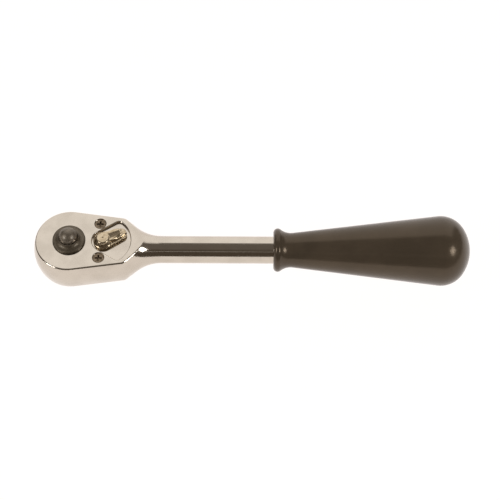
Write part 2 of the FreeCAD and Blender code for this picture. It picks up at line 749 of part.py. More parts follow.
def drive_gear():
    """The ratchet gear with its hubs, the square drive below and the button's bore above."""
    body = new_body("drive_gear")
    band_bottom = level("size.gear_bottom")
    band_top = level("size.gear_top")
    raise_pad(body, "tooth_band", band_bottom, "size.gear_top - size.gear_bottom",
              lambda sketch: draw_circle(sketch, "size.gear_radius"))
    cut_teeth(body, "gear", "size.gear_radius", "size.gear_radius - size.tooth_depth", band_top,
              "size.gear_top - size.gear_bottom")
    shoulder = level("-size.half_thickness - size.hub_drop")
    neck = level("size.half_thickness + size.hub_rise")
    seat = dish_level("size.collar_outer")
    turn(body, "hubs", [
        ("0", shoulder),
        ("size.lower_hub - size.light_bevel", shoulder),
        ("size.lower_hub", f"{shoulder} + size.light_bevel"),
        ("size.lower_hub", band_bottom),
        ("size.lower_hub", band_top),
        ("size.gear_collar", band_top),
        ("size.gear_collar", level("size.collar_top")),
        ("size.upper_hub", level("size.collar_top")),
        ("size.upper_hub", f"{neck} - size.hub_rim", "size.hub_rim", 1),
        ("size.upper_hub - size.hub_rim", neck),
        ("size.dish_foot", neck, "size.hub_dish", -1),
        ("size.collar_outer", seat),
        ("0", seat),
    ])

    def square(sketch):
        half = "size.square / 2"
        cut = "(size.square / 2 - size.square_edge)"
        draw(sketch, [
            (half, f"-{cut}"), (half, cut), (cut, half), (f"-{cut}", half),
            (f"-({half})", cut), (f"-({half})", f"-{cut}"), (f"-{cut}", f"-({half})"), (cut, f"-({half})"),
        ])

    raise_pad(body, "square_drive", "0", "size.drive_length", square)
    dress(body, "Chamfer", "lead_in", "size.square_lead",
          lambda edge, point: point.z < TINY and all(vertex.Z < TINY for vertex in edge.Vertexes))
    volume = recomputed_volume(body)
    top = f"{seat} + size.cut_over"
    turn(body, "bores", [
        ("0", "size.pin_bore_end"),
        ("size.pin_bore", "size.pin_bore_end"),
        ("size.pin_bore", level("size.bore_floor")),
        ("size.button_bore", level("size.bore_floor")),
        ("size.button_bore", level("size.collar_bottom")),
        ("size.collar_outer", level("size.collar_bottom")),
        ("size.collar_outer", top),
        ("0", top),
    ], cut=True)
    volume = check_cut(body, volume, "bores")
    seal = "size.hub_seal_wire + size.seal_squeeze"
    floor = f"size.hub_hole - 2 * ({seal})"
    outside = "size.upper_hub + size.cut_over"
    turn(body, "seal_groove", [
        (floor, level(f"size.hub_seal_level - ({seal})")),
        (outside, level(f"size.hub_seal_level - ({seal})")),
        (outside, level(f"size.hub_seal_level + {seal}")),
        (floor, level(f"size.hub_seal_level + {seal}")),
    ], cut=True)
    volume = check_cut(body, volume, "seal_groove")
    sketch = new_sketch(body, "ball_hole_section", "YZ_Plane")
    height = "size.ball_height"
    draw(sketch, [
        ("0", height),
        ("-size.square / 2 - size.cut_over", height),
        ("-size.square / 2 - size.cut_over", f"{height} + size.ball_lip"),
        ("-size.square / 2", f"{height} + size.ball_lip"),
        ("-size.lip_start", f"{height} + size.ball_hole"),
        ("0", f"{height} + size.ball_hole"),
    ])
    hole = body.newObject("PartDesign::Groove", "ball_hole")
    hole.Profile = sketch
    hole.ReferenceAxis = (sketch, ["Edge1"])
    hole.Angle = 360
    check_cut(body, volume, "ball_hole")
    return body


def ring(label, wire, circle, height, x="0"):
    """A round-section ring about a vertical axis."""
    torus = doc.addObject("Part::Torus", label)
    torus.Label = label
    torus.setExpression("Radius1", circle)
    torus.setExpression("Radius2", wire)
    torus.setExpression("Placement.Base.x", x)
    torus.setExpression("Placement.Base.z", height)
    return torus


def gear_thrust_washer():
    """The flat washer between the gear and the cover plate."""
    body = new_body("gear_thrust_washer")

    def flat_ring(sketch):
        draw_circle(sketch, "size.washer_outer")
        draw_circle(sketch, "size.washer_inner")

    raise_pad(body, "washer", level("size.washer_bottom"), "size.washer_top - size.washer_bottom", flat_ring)
    return body


def gear_seal_ring():
    """The sealing ring in the gear's upper hub."""
    seal = "size.hub_seal_wire"
    circle = f"size.hub_hole - size.seal_squeeze - {seal}"
    return ring("gear_seal_ring", seal, circle, level("size.hub_seal_level"))


def lever_seal_ring():
    """The sealing ring in the lever's stem."""
    seal = "size.stem_seal_wire"
    return ring("lever_seal_ring", seal, f"size.stem_hole - size.seal_squeeze - {seal}",
                level("size.stem_seal_level"), "size.lever_reach")


def release_button():
    """The domed button that frees the socket."""
    body = new_body("release_button")
    bottom = level("size.flange_bottom")
    top = level("size.button_top")
    turn_in = "size.dome_curve * sin(size.dome_turn)"
    turn_drop = "size.dome_curve * (1 - cos(size.dome_turn))"
    side_drop = "size.dome_side * cos(size.dome_turn)"
    turn(body, "button_turned", [
        ("size.pin_radius", bottom),
        ("size.button_flange", bottom),
        ("size.button_flange", level("size.flange_top")),
        ("size.button_radius", level("size.flange_top")),
        ("size.button_radius", f"{top} - {turn_drop} - {side_drop}", "size.dome_side", 1),
        (turn_in, f"{top} - {turn_drop}", "size.dome_curve", 1),
        ("0", top),
        ("0", level("size.pin_top")),
        ("size.pin_radius", level("size.pin_top")),
    ])
    return body


def push_pin():
    """The pin under the button, with the ramp that lets the ball drop in."""
    body = new_body("push_pin")
    ball = "size.ball_height"
    deep = "size.pin_radius - size.pin_ramp * (size.ramp_start + size.ramp_end)"
    turn(body, "pin_turned", [
        ("0", f"{ball} - size.pin_tail"),
        ("size.pin_radius - size.light_bevel", f"{ball} - size.pin_tail"),
        ("size.pin_radius", f"{ball} - size.pin_tail + size.light_bevel"),
        ("size.pin_radius", f"{ball} - size.ramp_start"),
        (deep, f"{ball} + size.ramp_end"),
        ("size.pin_radius", f"{ball} + size.ramp_exit"),
        ("size.pin_radius", level("size.pin_top")),
        ("0", level("size.pin_top")),
    ])
    return body


def coil(label, wire, radius, turns, length):
    """A coil spring standing on its own origin; the caller places it."""
    helix = doc.addObject("Part::Helix", f"{label}_line")
    helix.setExpression("Pitch", f"({length} - 2 * {wire}) / {turns}")
    helix.setExpression("Height", f"{length} - 2 * {wire}")
    helix.setExpression("Radius", radius)
    section = doc.addObject("Part::Circle", f"{label}_section")
    section.setExpression("Radius", wire)
    section.Placement = Placement(Vector(value(radius), 0, 0), Rotation(Vector(1, 0, 0), 90))
    section.setExpression("Placement.Base.x", radius)
    spring = doc.addObject("Part::Sweep", label)
    spring.Label = label
    spring.Sections = [section]
    spring.Spine = (helix, [])
    spring.Solid = True
    spring.Frenet = True
    return spring


def button_spring():
    """The spring that lifts the button."""
    spring = coil("button_spring", "size.spring_wire", "size.spring_coil", "size.spring_turns",
                  "(size.flange_bottom - size.bore_floor)")
    spring.setExpression("Placement.Base.z", level("size.bore_floor + size.spring_wire"))
    return spring


def button_collar():
    """The collar pressed into the hub, which keeps the button in and sweeps up to it."""
    body = new_body("button_collar")
    bottom = level("size.collar_bottom")
    mouth = "(size.collar_inner + size.collar_edge)"
    turn(body, "collar_turned", [
        ("size.collar_inner", bottom),
        ("size.collar_outer", bottom),
        ("size.collar_outer", dish_level("size.collar_outer"), "size.hub_dish", -1),
        (mouth, dish_level(mouth)),
        ("size.collar_inner", f"{dish_level(mouth)} - size.collar_edge"),
    ])
    return body


def detent_ball():
    """The ball that holds a socket on the square."""
    ball = doc.addObject("Part::Sphere", "detent_ball")
    ball.Label = "detent_ball"
    ball.setExpression("Radius", "size.ball_radius")
    ball.setExpression("Placement.Base.y", "-size.ball_centre")
    ball.setExpression("Placement.Base.z", "size.ball_height")
    return ball


def tooth_cutter(name, tilt):
    """The gear's tooth band, a little larger, turned about the pawl's pivot."""
    cutter = new_body(name)
    room = "size.tooth_clearance"
    height = "size.gear_top - size.gear_bottom + 2 * size.cut_over"
    raise_pad(cutter, f"{name}_band", level("size.gear_bottom - size.cut_over"), height,
              lambda sketch: draw_circle(sketch, f"size.gear_radius + {room}"))
    cut_teeth(cutter, name, f"size.gear_radius + {room}", f"size.gear_radius - size.tooth_depth + {room}",
              level("size.gear_top + size.cut_over"), height)
    pivot = Vector(value("size.pawl_pivot"), 0, 0)
    turned = Rotation(Vector(0, 0, 1), tilt)
    cutter.Placement = Placement(pivot - turned.multVec(pivot), turned)
    return cutter


def pawl():
    """The rocking pawl: teeth at both ends in front and a hollow for the plunger behind."""
    blank = new_body("pawl_blank")
    inner = "size.pawl_inner"
    outer = "size.pawl_outer"
    hollow_x = "size.lever_reach - size.pawl_back * cos(size.pawl_hollow)"
    hollow_y = "size.pawl_back * sin(size.pawl_hollow)"
    half = [
        ("size.pawl_front", "size.pawl_front * tan(size.pawl_inner)"),
        (f"size.pawl_root * cos({inner})", f"size.pawl_root * sin({inner})"),
        (f"size.pawl_root * cos({outer})", f"size.pawl_root * sin({outer})"),
        ("size.pawl_horn_x", "size.pawl_horn"),
        ("size.pawl_shoulder_x", "size.pawl_shoulder"),
        (hollow_x, hollow_y),
    ]
    mirrored = [(x, f"-({y})") for x, y in half]
    corners = [
        half[0], (*half[1], "size.pawl_root", 1), half[2], half[3], half[4],
        (hollow_x, hollow_y, "size.pawl_back", 1),
        mirrored[5], mirrored[4], mirrored[3],
        (*mirrored[2], "size.pawl_root", 1),
        mirrored[1], mirrored[0],
    ]
    raise_pad(blank, "pawl_pad", level("size.gear_bottom"), "size.gear_top - size.gear_bottom",
              lambda sketch: draw(sketch, corners))
    tilt = value("size.pawl_tilt")
    doc.recompute()
    cutters = doc.addObject("Part::MultiFuse", "pawl_cutters")
    cutters.Shapes = [tooth_cutter("cutter_left", tilt), tooth_cutter("cutter_right", -tilt)]
    toothed = doc.addObject("Part::Cut", "pawl")
    toothed.Label = "pawl"
    toothed.Base = blank
    toothed.Tool = cutters
    pivot = Vector(value("size.pawl_pivot"), 0, 0)
    rocked = Rotation(Vector(0, 0, 1), -tilt)
    toothed.Placement = Placement(pivot - rocked.multVec(pivot), rocked)
    return toothed


def reverse_lever():
    """The thumb lever and its stem, drawn pointing along the handle and then turned to rest."""
    body = new_body("reverse_lever")
    under = level("size.lever_under")
    seal = "size.stem_seal_wire + size.seal_squeeze"
    seal_floor = f"size.stem_hole - 2 * ({seal})"

    def thumb_plate(sketch):
        reach = "size.lever_length - size.lever_tip"
        draw(sketch, tapered_outline("size.lever_hub", "size.lever_tip", reach))

    raise_pad(body, "thumb_plate", under, "size.lever_plate", thumb_plate)
    dress(body, "Fillet", "thumb_edge", "size.thumb_round",
          lambda edge, point: abs(point.z - value(f"{under} + size.lever_plate")) < TINY)

    def fin(sketch):
        half = "size.fin_width / 2"
        draw(sketch, [
            ("size.fin_start", f"-({half})"),
            (f"size.fin_end - {half}", f"-({half})", half, 1),
            ("size.fin_end", "0", half, 1),
            (f"size.fin_end - {half}", half),
            ("size.fin_start", half),
        ])

    raise_pad(body, "thumb_fin", under, "size.fin_top - size.lever_under", fin)
    dress(body, "Fillet", "fin_edge", "size.fin_round",
          lambda edge, point: abs(point.z - value(level("size.fin_top"))) < TINY)
    turn(body, "stem", [
        ("0", level("size.foot_end")),
        ("size.stem_foot - size.light_bevel", level("size.foot_end")),
        ("size.stem_foot", level("size.foot_end + size.light_bevel")),
        ("size.stem_foot", level("size.foot_top")),
        ("size.stem_radius", level("size.foot_top")),
        ("size.stem_radius", level("size.clip_low")),
        ("size.clip_groove", level("size.clip_low")),
        ("size.clip_groove", level("size.clip_high")),
        ("size.stem_radius", level("size.clip_high")),
        ("size.stem_radius", level(f"size.stem_seal_level - ({seal})")),
        (seal_floor, level(f"size.stem_seal_level - ({seal})")),
        (seal_floor, level(f"size.stem_seal_level + {seal}")),
        ("size.stem_radius", level(f"size.stem_seal_level + {seal}")),
        ("size.stem_radius", under),
        ("size.lever_hub - size.hub_bevel", under),
        ("size.lever_hub", f"{under} + size.hub_bevel"),
        ("size.lever_hub", f"{under} + size.lever_plate", "size.boss_flank", 1),
        ("size.boss_radius", level("size.boss_top")),
        ("size.dimple_radius", level("size.boss_top")),
        ("0", level("size.boss_top - size.dimple_depth")),
    ])
    volume = recomputed_volume(body)
    sketch = new_sketch(body, "plunger_bore_section", "YZ_Plane", "-size.stem_radius - size.cut_over")
    draw_circle(sketch, "size.stem_bore", "0", level("size.stem_bore_level"))
    bore = body.newObject("PartDesign::Pocket", "plunger_bore")
    bore.Profile = sketch
    bore.Reversed = True
    bore.setExpression("Length", "size.stem_radius + size.cut_over + size.stem_bore_end")
    check_cut(body, volume, "plunger_bore")
    body.setExpression("Placement.Base.x", "size.lever_reach")
    body.Placement.Rotation = Rotation(Vector(0, 0, 1), value("size.lever_rest"))
    return body


def lever_clip():
    """The open clip in the lever's stem, under the roof of the head."""
    body = new_body("lever_clip")

    def outline(sketch):
        draw_circle(sketch, "size.clip_outer")
        draw_circle(sketch, "size.clip_groove + size.clip_gap")

    raise_pad(body, "clip_ring", level("size.clip_low"), "size.clip_high - size.clip_low", outline)
    volume = recomputed_volume(body)

    def mouth(sketch):
        half = "size.clip_mouth / 2"
        draw(sketch, [
            ("0", f"-({half})"), ("size.clip_outer + size.cut_over", f"-({half})"),
            ("size.clip_outer + size.cut_over", half), ("0", half),
        ])

    sink_pocket(body, "clip_mouth", level("size.clip_high"), "size.clip_high - size.clip_low", mouth)
    check_cut(body, volume, "clip_mouth")
    body.setExpression("Placement.Base.x", "size.lever_reach")
    body.Placement.Rotation = Rotation(Vector(0, 0, 1), value("size.lever_rest"))
    return body


def across_stem(piece, distance):
    """Lay a piece that stands on its own origin along the bore across the lever's stem."""
    heading = value("size.lever_rest") + 180
    lying = Rotation(Vector(0, 0, 1), heading).multiply(Rotation(Vector(0, 1, 0), 90))
    base = Vector(value("size.lever_reach"), 0, value(level("size.stem_bore_level")))
    piece.Placement = Placement(base + lying.multVec(Vector(0, 0, value(distance))), lying)
    return piece


def pawl_plunger():
    """The round-nosed plunger that tips the pawl."""
    body = new_body("pawl_plunger")
    nose = "size.plunger_radius"
    turn(body, "plunger_turned", [
        ("0", "0"),
        (nose, "0"),
        (nose, f"size.plunger_length - {nose}", nose, 1),
        ("0", "size.plunger_length"),
    ])
    return across_stem(body, "size.plunger_tip - size.plunger_length")


def plunger_spring():
    """The spring behind the plunger."""
    room = "(size.plunger_tip - size.plunger_length + size.stem_bore_end)"
    spring = coil("plunger_spring", "size.plunger_wire", "size.plunger_coil", "size.plunger_turns", room)
    return across_stem(spring, "size.plunger_wire - size.stem_bore_end")


NODES = [
    ratchet_body(), handle_grip(), cover_plate(), cover_screws(), cover_dowels(),
    drive_gear(), gear_thrust_washer(), gear_seal_ring(),
    release_button(), push_pin(), button_spring(), button_collar(), detent_ball(),
    pawl(), reverse_lever(), lever_clip(), lever_seal_ring(), pawl_plunger(), plunger_spring(),
]
doc.recompute()

for item in doc.Objects:
    if "Invalid" in item.State or "Error" in item.State:
        raise RuntimeError(f"{item.Name} failed: {item.State}")
os.makedirs("parts", exist_ok=True)
for node in NODES:
    shape = node.Shape
    if shape.isNull() or not shape.isValid() or not shape.Solids:
        raise RuntimeError(f"{node.Label} has no valid solid")
for node in NODES:
    node.Shape.exportStep(f"parts/{node.Label}.step")
    print(f"{node.Label}: {len(node.Shape.Solids)} solid(s), {node.Shape.Volume:.1f} mm3")
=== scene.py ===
"""Looks of a reversible quick-release ratchet wrench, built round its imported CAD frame."""
import logging
import math
from dataclasses import dataclass
from enum import Enum
from typing import Any, Callable

import bmesh
import bpy
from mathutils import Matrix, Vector

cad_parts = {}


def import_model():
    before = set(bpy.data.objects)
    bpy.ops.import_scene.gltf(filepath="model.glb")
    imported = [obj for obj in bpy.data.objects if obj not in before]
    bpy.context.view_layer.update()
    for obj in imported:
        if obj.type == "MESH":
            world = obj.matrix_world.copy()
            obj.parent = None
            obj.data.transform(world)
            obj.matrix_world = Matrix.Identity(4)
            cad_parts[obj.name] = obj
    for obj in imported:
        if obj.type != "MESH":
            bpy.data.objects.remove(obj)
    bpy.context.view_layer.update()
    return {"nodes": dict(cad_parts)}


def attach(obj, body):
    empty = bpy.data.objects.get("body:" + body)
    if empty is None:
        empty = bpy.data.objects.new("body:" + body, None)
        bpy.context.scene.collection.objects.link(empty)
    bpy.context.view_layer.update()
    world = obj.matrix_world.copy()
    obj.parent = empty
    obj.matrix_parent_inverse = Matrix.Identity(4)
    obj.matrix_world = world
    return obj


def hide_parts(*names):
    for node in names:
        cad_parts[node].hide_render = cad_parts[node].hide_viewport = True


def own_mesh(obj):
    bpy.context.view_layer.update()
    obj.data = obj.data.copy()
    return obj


FRAME: dict[str, Any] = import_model()
MM = 0.001
# Height of the head's middle plane and of the handle's axis, in millimetres.
MIDDLE_Z_MM = 19.0
Point = tuple[float, float]
LOG = logging.getLogger("ratchet_wrench")


def linear(hex_colour: str) -> tuple[float, float, float, float]:
    """Turn an sRGB hex colour into linear values.

    Args:
        hex_colour: six hex digits with a leading #.

    Returns:
        Red, green, blue and an alpha of 1.
    """
    channels = [int(hex_colour[place:place + 2], 16) / 255 for place in (1, 3, 5)]
    bent = [c / 12.92 if c <= 0.04045 else ((c + 0.055) / 1.055) ** 2.4 for c in channels]
    return (bent[0], bent[1], bent[2], 1.0)


def waves_for(size_mm: float) -> float:
    """The noise scale, in waves per metre, whose features are about size_mm across."""
    return 1.0 / (size_mm * MM)


def add_node(
    tree: bpy.types.NodeTree,
    kind: str,
    settings: dict[str, Any] | None = None,
    inputs: dict[str, Any] | None = None,
) -> bpy.types.Node:
    """Add a node with its settings, socket values and links.

    Args:
        tree: the node tree that takes the node.
        kind: the node's type name.
        settings: properties of the node itself.
        inputs: socket name or number to a value, or to an output socket to link from.

    Returns:
        The new node.
    """
    node = tree.nodes.new(kind)
    for name, setting in (settings or {}).items():
        setattr(node, name, setting)
    for name, given in (inputs or {}).items():
        socket = node.inputs[name]
        if isinstance(given, bpy.types.NodeSocket):
            tree.links.new(given, socket)
        else:
            socket.default_value = given
    return node


def ramp(
    tree: bpy.types.NodeTree,
    source: bpy.types.NodeSocket,
    low: Point,
    high: Point,
) -> bpy.types.NodeSocket:
    """Map a value from one span to another and hold it there.

    Args:
        tree: the node tree.
        source: the value to map.
        low: the source's low end and what it becomes.
        high: the source's high end and what it becomes.

    Returns:
        The mapped value's socket.
    """
    mapped = add_node(tree, "ShaderNodeMapRange", {"interpolation_type": "SMOOTHSTEP"}, {
        "Value": source, "From Min": low[0], "From Max": high[0], "To Min": low[1], "To Max": high[1],
    })
    return mapped.outputs["Result"]


def start_clean() -> None:
    """Leave edit mode and deselect everything."""
    if bpy.context.object and bpy.context.object.mode != "OBJECT":
        bpy.ops.object.mode_set(mode="OBJECT")
    bpy.ops.object.select_all(action="DESELECT")


def pick(piece: bpy.types.Object) -> None:
    """Make one piece the only selected and active object.

    Args:
        piece: the piece to pick.
    """
    start_clean()
    piece.select_set(True)
    bpy.context.view_layer.objects.active = piece


def select_points(piece: bpy.types.Object, wanted: Callable[[Vector], bool]) -> None:
    """In edit mode, select the vertices that pass a test and nothing else.

    Args:
        piece: the mesh object in edit mode.
        wanted: takes a vertex's place in millimetres.
    """
    bpy.ops.mesh.select_mode(type="VERT")
    bpy.ops.mesh.select_all(action="DESELECT")
    mesh = bmesh.from_edit_mesh(piece.data)
    for vertex in mesh.verts:
        vertex.select = wanted(vertex.co / MM)
    mesh.select_flush(True)
    bmesh.update_edit_mesh(piece.data)


def arc_points(centre: Point, radius: float, start_deg: float, end_deg: float, steps: int) -> list[Point]:
    """Points along an arc of a profile.

    Args:
        centre: along the axis and out from it.
        radius: the arc's radius.
        start_deg: angle of the first point, from the axis's positive direction.
        end_deg: angle of the last point.
        steps: number of points after the first.

    Returns:
        The points, both ends included.
    """
    turned = [math.radians(start_deg + (end_deg - start_deg) * step / steps) for step in range(steps + 1)]
    return [(centre[0] + radius * math.cos(a), centre[1] + radius * math.sin(a)) for a in turned]


def apply_modifiers(piece: bpy.types.Object) -> None:
    """Apply every modifier on a piece, in order.

    Args:
        piece: the piece that carries them.
    """
    pick(piece)
    for modifier in list(piece.modifiers):
        bpy.ops.object.modifier_apply(modifier=modifier.name)


def cap_openings() -> None:
    """In edit mode, close the open ends of the piece with one face each."""
    bpy.ops.mesh.select_all(action="DESELECT")
    bpy.ops.mesh.select_non_manifold()
    bpy.ops.mesh.edge_face_add()


@dataclass(frozen=True)
class Lathe:
    """An axis to turn profiles about."""

    axis: tuple[float, float, float]
    origin_mm: tuple[float, float, float]
    steps: int = 96

    def place(self, along: float) -> Vector:
        """The point on the axis at a distance in millimetres, in metres."""
        return (Vector(self.origin_mm) + Vector(self.axis) * along) * MM

    def turn(self, name: str, profile: list[Point]) -> bpy.types.Object:
        """Turn a closed piece from its profile, ring by ring.

        Args:
            name: the piece's name.
            profile: distance along the axis and radius in millimetres; the first and last
                rings are capped, or drawn to a point where the last radius is 0.

        Returns:
            The new piece.
        """
        start_clean()
        first_along, first_radius = profile[0]
        facing = Vector(self.axis).to_track_quat("Z", "Y").to_euler()
        bpy.ops.mesh.primitive_circle_add(
            vertices=self.steps, radius=first_radius * MM, location=self.place(first_along), rotation=facing)
        piece = bpy.context.object
        piece.name = name
        bpy.ops.object.transform_apply(location=True, rotation=True, scale=True)
        bpy.ops.object.mode_set(mode="EDIT")
        bpy.ops.mesh.select_all(action="SELECT")
        for (before, old), (after, new) in zip(profile, profile[1:]):
            bpy.ops.mesh.extrude_region_move(
                TRANSFORM_OT_translate={"value": tuple(Vector(self.axis) * (after - before) * MM)})
            if new == 0.0:
                bpy.ops.mesh.merge(type="CENTER")
                break
            if new != old:
                grow = [1.0 if part else new / old for part in self.axis]
                bpy.ops.transform.resize(value=grow, center_override=self.place(after))
        cap_openings()
        bpy.ops.object.mode_set(mode="OBJECT")
        return piece


@dataclass(frozen=True)
class Fitting:
    """Where a new piece belongs and what it stands for."""

    body: str
    slot: str
    node: str
    merge_mm: float = 0.001

    def fit(self, piece: bpy.types.Object, finish: bpy.types.Material, smooth_deg: float = 35.0) -> None:
        """Close, smooth, dress and attach a finished piece.

        Args:
            piece: the piece, with its modifiers applied.
            finish: its material.
            smooth_deg: edges sharper than this stay sharp.
        """
        pick(piece)
        bpy.ops.object.transform_apply(location=True, rotation=True, scale=True)
        bpy.ops.object.mode_set(mode="EDIT")
        bpy.ops.mesh.select_all(action="SELECT")
        bpy.ops.mesh.remove_doubles(threshold=self.merge_mm * MM)
        bpy.ops.mesh.normals_make_consistent(inside=False)
        bpy.ops.object.mode_set(mode="OBJECT")
        bpy.ops.object.shade_smooth_by_angle(angle=math.radians(smooth_deg))
        piece.data.materials.clear()
        piece.data.materials.append(finish)
        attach(piece, self.body)
        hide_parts(self.node)
        LOG.info("%s: %d faces on %s", piece.name, len(piece.data.polygons), self.body)


@dataclass(frozen=True)
class Finish:
    """A surface: what it is made of, how smooth it is and what breaks up its gloss."""

    name: str
    colour: str
    tint: str
    rough_low: float
    rough_high: float
    cloud_mm: float
    grain_mm: float
    grain_depth_mm: float
    metallic: float = 1.0
    ripple_mm: float = 0.0
    ripple_depth_mm: float = 0.0
    ior: float = 1.5
    gloss_tint: str = "#ffffff"
    coat: float = 0.0
    coat_roughness: float = 0.1
    cloud_detail: float = 3.0
    cloud_roughness: float = 0.55
    grain_detail: float = 2.0
    ripple_detail: float = 1.0
    tint_span: Point = (0.35, 0.65)
    rough_span: Point = (0.3, 0.7)

    def material(self) -> bpy.types.Material:
        """Build the node material for this finish.

        Returns:
            The new material.
        """
        made = bpy.data.materials.new(self.name)
        made.use_nodes = True
        tree = made.node_tree
        tree.nodes.clear()
        place = add_node(tree, "ShaderNodeTexCoord").outputs["Object"]
        cloud = add_node(tree, "ShaderNodeTexNoise", None, {
            "Vector": place, "Scale": waves_for(self.cloud_mm), "Detail": self.cloud_detail,
            "Roughness": self.cloud_roughness,
        }).outputs["Fac"]
        grain = add_node(tree, "ShaderNodeTexNoise", None, {
            "Vector": place, "Scale": waves_for(self.grain_mm), "Detail": self.grain_detail,
        }).outputs["Fac"]
        colour = add_node(tree, "ShaderNodeMix", {"data_type": "RGBA"}, {
            "Factor": ramp(tree, cloud, (self.tint_span[0], 0.0), (self.tint_span[1], 1.0)),
            6: linear(self.colour), 7: linear(self.tint),
        }).outputs[2]
        roughness = ramp(
            tree, cloud, (self.rough_span[0], self.rough_low), (self.rough_span[1], self.rough_high))
        bump = add_node(tree, "ShaderNodeBump", None, {
            "Strength": 1.0, "Distance": self.grain_depth_mm * MM, "Height": grain,
        })
        if self.ripple_mm:
            ripple = add_node(tree, "ShaderNodeTexNoise", None, {
                "Vector": place, "Scale": waves_for(self.ripple_mm), "Detail": self.ripple_detail,
            }).outputs["Fac"]
            bump = add_node(tree, "ShaderNodeBump", None, {
                "Strength": 1.0, "Distance": self.ripple_depth_mm * MM, "Height": ripple,
                "Normal": bump.outputs["Normal"],
            })
        shader = add_node(tree, "ShaderNodeBsdfPrincipled", None, {
            "Base Color": colour, "Metallic": self.metallic, "Roughness": roughness,
            "Normal": bump.outputs["Normal"], "Coat Weight": self.coat,
            "Coat Roughness": self.coat_roughness,
        })
        if self.metallic == 0.0:
            shader.inputs["IOR"].default_value = self.ior
            shader.inputs["Specular Tint"].default_value = linear(self.gloss_tint)
        output = add_node(tree, "ShaderNodeOutputMaterial")
        tree.links.new(shader.outputs["BSDF"], output.inputs["Surface"])
        return made


class Surface(Enum):
    """The finishes that the wrench has."""

    # Nickel-chrome plate over a ground forging: bright, a little warm and softly clouded.
    PLATED_FORGING = Finish(
        "nickel_chrome_plate", "#ccc3b6", "#c4bbae", rough_low=0.09, rough_high=0.16,
        cloud_mm=9.0, grain_mm=0.35, grain_depth_mm=0.0006, ripple_mm=6.0, ripple_depth_mm=0.004)
    # Chrome plate over a die casting: bright and warmer, with the casting's slow ripples under it.
    PLATED_CASTING = Finish(
        "chrome_plated_casting", "#cebea3", "#b8a68a", rough_low=0.14, rough_high=0.24,
        cloud_mm=1.8, grain_mm=0.3, grain_depth_mm=0.0004, ripple_mm=2.2, ripple_depth_mm=0.006)
    # Black oxide on hardened steel: brown-black and satin, under a thin film of oil.
    BLACK_OXIDE = Finish(
        "oiled_black_oxide", "#695f51", "#5f5648", rough_low=0.44, rough_high=0.54,
        cloud_mm=4.0, grain_mm=0.25, grain_depth_mm=0.0015, coat=0.3, coat_roughness=0.25)
    # Black oxide on the button, rubbed by thumbs: the same satin with a clearer film.
    RUBBED_OXIDE = Finish(
        "thumb_rubbed_oxide", "#7d7366", "#736a5d", rough_low=0.46, rough_high=0.56,
        cloud_mm=3.0, grain_mm=0.25, grain_depth_mm=0.001, coat=0.35, coat_roughness=0.12)
    # Black oxide on the screws, handled and dull.
    DULL_OXIDE = Finish(
        "dull_black_oxide", "#958571", "#80715e", rough_low=0.45, rough_high=0.6,
        cloud_mm=1.2, grain_mm=0.2, grain_depth_mm=0.004)
    # Moulded cellulose-like grip plastic: deep brown-black and glossy with faint flow marks.
    GRIP_PLASTIC = Finish(
        "glossy_moulded_plastic", "#473e33", "#4d4337", metallic=0.0, rough_low=0.18, rough_high=0.24,
        cloud_mm=14.0, grain_mm=0.5, grain_depth_mm=0.001, ripple_mm=8.0, ripple_depth_mm=0.006,
        ior=1.48, gloss_tint="#ffe6ca")
    # Ground and hardened steel of the inner pieces: grey with a fine satin.
    GROUND_STEEL = Finish(
        "ground_steel", "#b4b2ae", "#a09e9a", rough_low=0.2, rough_high=0.32,
        cloud_mm=3.0, grain_mm=0.2, grain_depth_mm=0.001)
    # Drawn spring wire: darker, with drawing marks too fine to see.
    DRAWN_WIRE = Finish(
        "drawn_wire", "#8c8a87", "#78756f", rough_low=0.25, rough_high=0.38,
        cloud_mm=2.0, grain_mm=0.15, grain_depth_mm=0.001)
    # Nitrile rubber of the sealing rings: matt black.
    NITRILE = Finish(
        "nitrile_rubber", "#1a1a1a", "#222121", metallic=0.0, rough_low=0.55, rough_high=0.7,
        cloud_mm=3.0, grain_mm=0.2, grain_depth_mm=0.002, ior=1.52)


